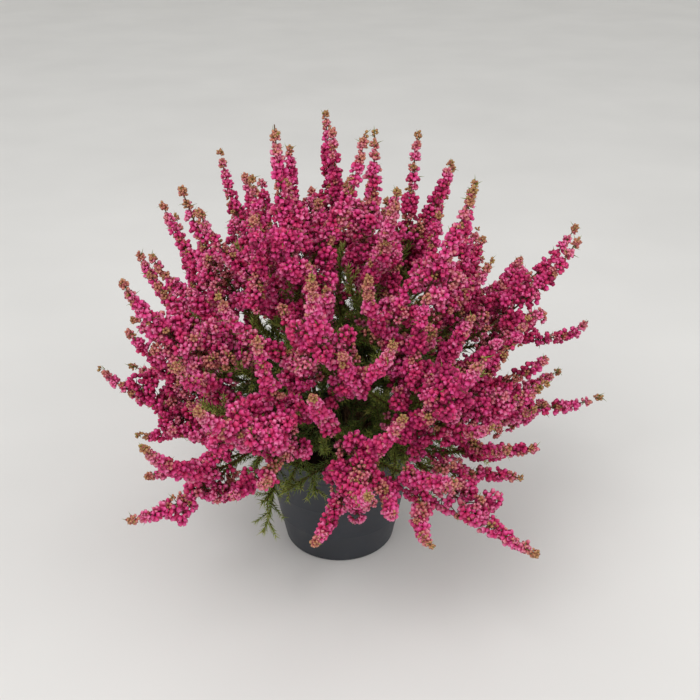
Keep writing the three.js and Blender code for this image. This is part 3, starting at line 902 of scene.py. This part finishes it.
def woodyCrown(cutting, sprays):
    growth = Growth()
    trunk, rows = wood["trunk"], wood["trunk"]["rows"]
    x, y = rootOf(cutting)
    heights = np.linspace(bush["soilTop"] - bush["rootDepth"], bush["soilTop"] + bush["trunkTop"], rows)
    sway = wood["sway"] * np.sin(np.arange(rows) * wood["swayTurn"])
    points = np.stack([x + sway, np.full(rows, y), heights], 1)
    addTube(growth, points, np.linspace(*trunk["radius"], rows), trunk["sides"], petals["stemTint"],
            trunk["wobble"])
    for spray in sprays:
        if spray["cutting"] == cutting:
            addStem(growth, spray["main"], 0, bush["woodEnd"], wood["stem"], petals["stemTint"])
    return growth.finish(f"heathWood_{cutting + 1}", barkLook, f"woody_crown_{cutting + 1}", "bark", False)


# The pot, grown ring by ring from its underside, up its outside and down its inside

nurseryPot = {
    "segments": 96, "rim": 0.060, "height": 0.092, "band": 0.011, "step": 0.0019, "flare": 0.0009,
    "base": 0.042, "baseRound": 0.001, "wall": 0.0015, "floorCentre": 0.01,
    "footHeight": 0.0016, "footWidth": 0.007, "pad": 0.014,
    "mouldLines": (0.3, 0.62), "mouldDepth": 0.0003, "mouldRows": (0.0004, 0.0012, 0.0016),
    "bandFoot": 0.0006, "rimRound": (0.0004, 0.0007), "innerStep": 0.0016,
    "holes": 6, "holeRadius": 0.004, "holeRing": 0.024, "holeSides": 24,
    "drillLength": 0.012, "drillHeight": 0.001, "closePairs": 0.0001,
    "edge": 0.00035, "edgeAngle": 28, "smoothAngle": 35,
    "roughness": 0.5, "specular": 0.4, "clouds": {"Scale": 45, "Detail": 8, "Roughness": 0.65},
    "colors": shades((0.3, 42, 45, 51), (0.6, 54, 57, 63), (0.8, 74, 75, 76)),
    "worn": [(0.3, grey(0.42)), (0.7, grey(0.62))],
    # the pot is painted darker just under the rim's band as painted shade, a little lighter on the band as
    # painted light, and much lighter along the rim's top edge as a painted highlight
    "bandShadeAndLight": [(-0.03, 1), (-0.006, 0.35), (0, 0.35), (0.008, 1.25)], "rimTopHighlight": [(0.975, 1.25), (0.99, 2.2)],
    "grain": {"Scale": 1800, "Detail": 2, "Coarseness": 0.5, "Strength": 0.25, "Depth": 0.0001,
              "Stretch": (1, 1, 1)},
}


def potRadiusAt(height):
    pot = nurseryPot
    share = height / (pot["height"] - pot["band"])
    return mix(pot["base"], pot["rim"] - pot["step"] - pot["flare"], share)


def potProfile():
    pot = nurseryPot
    wall, rim, top, base, foot = pot["wall"], pot["rim"], pot["height"], pot["base"], pot["footHeight"]
    floor = foot + wall
    bandLow = top - pot["band"]
    outside = [(pot["pad"], 0), (pot["pad"] + foot, foot), (base - pot["footWidth"] - foot, foot),
               (base - pot["footWidth"], 0), (base - pot["baseRound"], 0), (base, pot["baseRound"])]
    low, high, end = pot["mouldRows"]
    for share in pot["mouldLines"]:
        height = bandLow * share
        raised = potRadiusAt(height) + pot["mouldDepth"]
        outside += [(potRadiusAt(height), height), (raised, height + low), (raised, height + high),
                    (potRadiusAt(height + end), height + end)]
    inward, down = pot["rimRound"]
    outside += [(potRadiusAt(bandLow), bandLow), (rim - pot["flare"], bandLow + pot["bandFoot"]),
                (rim, top - down), (rim - inward, top)]
    inside = [(rim - wall, top), (rim - wall - pot["flare"], bandLow + pot["innerStep"]),
              (potRadiusAt(bandLow) - wall, bandLow), (potRadiusAt(floor) - wall, floor),
              (pot["floorCentre"], floor)]
    return outside + inside


def modelPot():
    pot = turnRings(nurseryPot["segments"], potProfile())
    pot.name = "nurseryPot"
    drillPot(pot)
    bevel = pot.modifiers.new("softEdges", "BEVEL")
    bevel.width = nurseryPot["edge"]
    bevel.segments = 2
    bevel.limit_method = "ANGLE"
    bevel.angle_limit = math.radians(nurseryPot["edgeAngle"])
    bpy.ops.object.modifier_apply(modifier=bevel.name)
    bpy.ops.object.shade_smooth_by_angle(angle=math.radians(nurseryPot["smoothAngle"]))
    pot.data.materials.clear()
    pot.data.materials.append(plasticMaterial())
    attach(pot, "root")
    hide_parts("pot")


def drillPot(pot):
    drills = []
    for k in range(nurseryPot["holes"]):
        x, y = onCircle((k + 0.5) * 2 * math.pi / nurseryPot["holes"], nurseryPot["holeRing"])
        bpy.ops.mesh.primitive_cylinder_add(
            vertices=nurseryPot["holeSides"], radius=nurseryPot["holeRadius"],
            depth=nurseryPot["drillLength"], location=(x, y, nurseryPot["drillHeight"]))
        drills.append(bpy.context.object)
    drill = joinPieces(*drills)
    selectOnly(pot)
    cut = pot.modifiers.new("drainHoles", "BOOLEAN")
    cut.operation = "DIFFERENCE"
    cut.object = drill
    bpy.ops.object.modifier_apply(modifier=cut.name)
    bpy.data.objects.remove(drill, do_unlink=True)
    editMesh("SELECT")
    # the cut leaves close pairs on the edges of the holes
    bpy.ops.mesh.remove_doubles(threshold=nurseryPot["closePairs"])
    setMode("OBJECT")


def plasticMaterial():
    pot = nurseryPot
    material, tree, shader = newMaterial("potPlastic", pot)
    cloudy = noiseOf(tree, pot["clouds"])
    # painted shade darkens the corner under the rim's band, the band itself is painted a little lighter, and
    # a painted highlight lightens the rim's top edge
    where = addNode(tree, "TexCoord", {})["Object"]
    height = addNode(tree, "SeparateXYZ", {"Vector": where})["Z"]
    share = addNode(tree, "MapRange", {"Value": height, "From Max": pot["height"]})["Result"]
    bandLow = 1 - pot["band"] / pot["height"]
    paintedShadeStops = [(bandLow + past, grey(value)) for past, value in pot["bandShadeAndLight"]]
    paintedShadeStops += [(place, grey(value)) for place, value in pot["rimTopHighlight"]]
    paintedShadeAndLight = rampOf(tree, share, paintedShadeStops)
    colors = mixColors(tree, 1, rampOf(tree, cloudy, pot["colors"]), paintedShadeAndLight, "MULTIPLY")
    feed(tree, shader.inputs["Base Color"], colors)
    feed(tree, shader.inputs["Roughness"], rampOf(tree, cloudy, pot["worn"]))
    addGrain(tree, shader, pot["grain"])
    return material


# The peat: a crumbly disc over the root ball, with crumbs on it

peatBed = {
    "seed": 31, "rings": 30, "segments": 96, "sunk": 0.0015, "clearance": 0.0008,
    "heave": 0.0012, "bump": 0.0012, "swell": 0.4, "swellPitch": (260, 310), "rough": 0.6,
    "crumbs": 420, "crumbSize": (0.0008, 0.0026), "crumbWide": (0.6, 1), "crumbHigh": (0.5, 0.9),
    "crumbRough": 0.3, "crumbReach": 0.96, "crumbRise": 0.0002,
    "roughness": 0.95, "specular": 0.15,
    "colors": shades((0.3, 24, 15, 10), (0.55, 50, 34, 24), (0.72, 92, 68, 48)),
    "grain": {"Scale": 260, "Detail": 8, "Coarseness": 0.7, "Strength": 0.8, "Depth": 0.0008,
              "Stretch": (1, 1, 1)},
}


def modelPeat():
    low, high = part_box("peat")
    rng = np.random.default_rng(peatBed["seed"])
    edge, top, steps = high.x, bush["soilTop"] - peatBed["sunk"], peatBed["rings"] + 1
    rings = [(potRadiusAt(low.z) - nurseryPot["wall"] - peatBed["clearance"], low.z)]
    rings += [(edge * (1 - k / steps), top) for k in range(steps)]
    peat = turnRings(peatBed["segments"], rings)
    peat.name = "peatBall"
    places, _ = meshArrays(peat)
    x, y = places[:, 0], places[:, 1]
    onTop = (places[:, 2] > top - 1e-5) & (np.hypot(x, y) < edge - 1e-4)
    pitchX, pitchY = peatBed["swellPitch"]
    swell = np.sin(x * pitchX) * np.cos(y * pitchY + 1) * peatBed["swell"]
    rough = rng.uniform(-1, 1, len(places)) * peatBed["rough"]
    places[onTop, 2] += peatBed["heave"] + peatBed["bump"] * (swell + rough)[onTop]
    peat.data.vertices.foreach_set("co", places.ravel())
    peat.data.update()
    joinPieces(peat, peatCrumbs(rng, edge))
    peat.data.materials.clear()
    peat.data.materials.append(grainyMaterial("darkPeat", peatBed))
    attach(peat, "root")
    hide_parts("peat")


def peatCrumbs(rng, edge):
    deselectAll()
    bpy.ops.mesh.primitive_ico_sphere_add(subdivisions=1, radius=1)
    crumb = bpy.context.object
    places, faces = meshArrays(crumb)
    bpy.data.objects.remove(crumb, do_unlink=True)
    vary = peatBed["crumbRough"]
    allPlaces, allFaces = [], []
    for k in range(peatBed["crumbs"]):
        radius = edge * peatBed["crumbReach"] * math.sqrt(rng.random())
        x, y = onCircle(rng.uniform(0, 2 * math.pi), radius)
        size = rng.uniform(*peatBed["crumbSize"]) * np.array(
            [1, rng.uniform(*peatBed["crumbWide"]), rng.uniform(*peatBed["crumbHigh"])])
        shaped = places * (1 + rng.uniform(-vary, vary, (len(places), 1))) * size
        spin = rng.uniform(0, math.pi)
        cos, sin = math.cos(spin), math.sin(spin)
        turned = np.stack([shaped[:, 0] * cos - shaped[:, 1] * sin, shaped[:, 0] * sin + shaped[:, 1] * cos,
                           shaped[:, 2]], 1)
        allPlaces.append(turned + np.array([x, y, bush["soilTop"] + peatBed["crumbRise"]]))
        allFaces.append(faces + k * len(places))
    mesh = bpy.data.meshes.new("peatCrumbs")
    mesh.from_pydata(np.concatenate(allPlaces).tolist(), [], np.concatenate(allFaces).tolist())
    return newObject("peatCrumbs", mesh)


# The studio: a pale floor that sweeps up behind, soft lights, and the camera at the photo's angle

studio = {
    "target": (0.008, 0.0, 0.158), "rise": 27.3, "distance": 0.70, "lens": 50.0, "world": 0.75,
    "key": {"place": (-0.7, -0.9, 1.7), "size": 1.2, "energy": 14.5},
    "fill": {"place": (1.2, -0.7, 1.0), "size": 1.0, "energy": 5.0},
    "floor": srgb(226, 225, 222), "darker": 0.95, "roughness": 0.8, "specular": 0.2,
    "clouds": {"Scale": 5}, "floorSize": 6, "floorHeight": -0.0002, "backEdge": 0.48,
    "sweepRows": 8, "sweepStep": 0.12, "wall": 3,
}


def modelFloor():
    deselectAll()
    bpy.ops.mesh.primitive_plane_add(size=studio["floorSize"], location=(0, 0, studio["floorHeight"]))
    floor = bpy.context.object
    floor.name = "studioFloor"
    editMesh("DESELECT")
    setMode("OBJECT")
    back = studio["floorSize"] * studio["backEdge"]
    for edge in floor.data.edges:
        edge.select = all(floor.data.vertices[v].co.y > back for v in edge.vertices)
    setMode("EDIT")
    for k in range(studio["sweepRows"]):
        tilt = (k + 0.5) / studio["sweepRows"] * math.pi / 2
        step = (0, *onCircle(tilt, studio["sweepStep"]))
        bpy.ops.mesh.extrude_region_move(TRANSFORM_OT_translate={"value": step})
    bpy.ops.mesh.extrude_region_move(TRANSFORM_OT_translate={"value": (0, 0, studio["wall"])})
    setMode("OBJECT")
    bpy.ops.object.transform_apply(location=True, rotation=True, scale=True)
    for face in floor.data.polygons:
        face.use_smooth = True
    material, tree, shader = newMaterial("paleFloor", studio)
    darker = tuple(value * studio["darker"] for value in studio["floor"][:3]) + (1,)
    colors = rampOf(tree, noiseOf(tree, studio["clouds"]), [(0.3, darker), (0.7, studio["floor"])])
    feed(tree, shader.inputs["Base Color"], colors)
    floor.data.materials.append(material)


def areaLight(name, values):
    lamp = bpy.data.lights.new(name, "AREA")
    lamp.shape = "DISK"
    lamp.size = values["size"]
    lamp.energy = values["energy"]
    light = newObject(name, lamp)
    light.location = values["place"]
    aim = Vector(studio["target"]) - Vector(values["place"])
    light.rotation_euler = aim.to_track_quat("-Z", "Y").to_euler()


def lightStudio():
    world = bpy.data.worlds.new("paleRoom")
    world.use_nodes = True
    background = world.node_tree.nodes["Background"]
    background.inputs["Color"].default_value = grey(1)
    background.inputs["Strength"].default_value = studio["world"]
    bpy.context.scene.world = world
    areaLight("keyLight", studio["key"])
    areaLight("fillLight", studio["fill"])


def setCamera():
    lens = bpy.data.cameras.new("photoView")
    lens.lens = studio["lens"]
    camera = newObject("photoView", lens)
    rise = math.radians(studio["rise"])
    offset = Vector((0, -math.cos(rise), math.sin(rise))) * studio["distance"]
    camera.location = Vector(studio["target"]) + offset
    camera.rotation_euler = (-offset).to_track_quat("-Z", "Y").to_euler()
    bpy.context.scene.camera = camera
    bpy.context.scene.view_settings.view_transform = "Standard"


# The making of the whole plant

lightStudio()
setCamera()
modelFloor()
print("studio ready")

bellPattern = turnedPattern(bell)
needlePattern = turnedPattern(needle)
twigPattern = turnedPattern(twig)
grainNodes = grainGroup()
petalLook = petalMaterial("heathPetals")
needleLook = needleMaterial("heathNeedles")
barkLook = grainyMaterial("heathBark", wood)
sprays = growSprays()
print("stems laid out:", len(sprays))

total, bellTotal = 0, 0
for index, spray in enumerate(sprays):
    piece, bells = flowerSpray(index, spray)
    total += len(piece.data.polygons)
    bellTotal += bells
print("flower sprays made:", total, "faces,", bellTotal, "bells")
leafTotal = 0
for index, spray in enumerate(sprays):
    leafTotal += len(leafyStem(index, spray).data.polygons)
print("leafy stems made:", leafTotal, "faces")

shootRng = np.random.default_rng(thinShoots["seed"])
taken = [way for _, _, way in spireDirections()]
opening = growShoots(sprays, thinShoots["flowering"], taken, shootRng)
green = growShoots(sprays, thinShoots["between"], taken, shootRng)
green += growShoots(sprays, thinShoots["middle"], [up], shootRng)
green += growShoots(sprays, thinShoots["overRim"], [up], shootRng)
groups = bush["cuttings"]
for number in range(groups):
    piece = flowerShoots(number + 1, opening[number::groups], shootRng)
    print("flowering shoots made:", len(piece.data.polygons), "faces")
    piece = leafyShoots(number + 1, green[number::groups], shootRng)
    print("green shoots made:", len(piece.data.polygons), "faces")
for cutting in range(bush["cuttings"]):
    woodyCrown(cutting, sprays)
print("woody crowns made")
modelPot()
print("pot made")
modelPeat()
print("peat made")
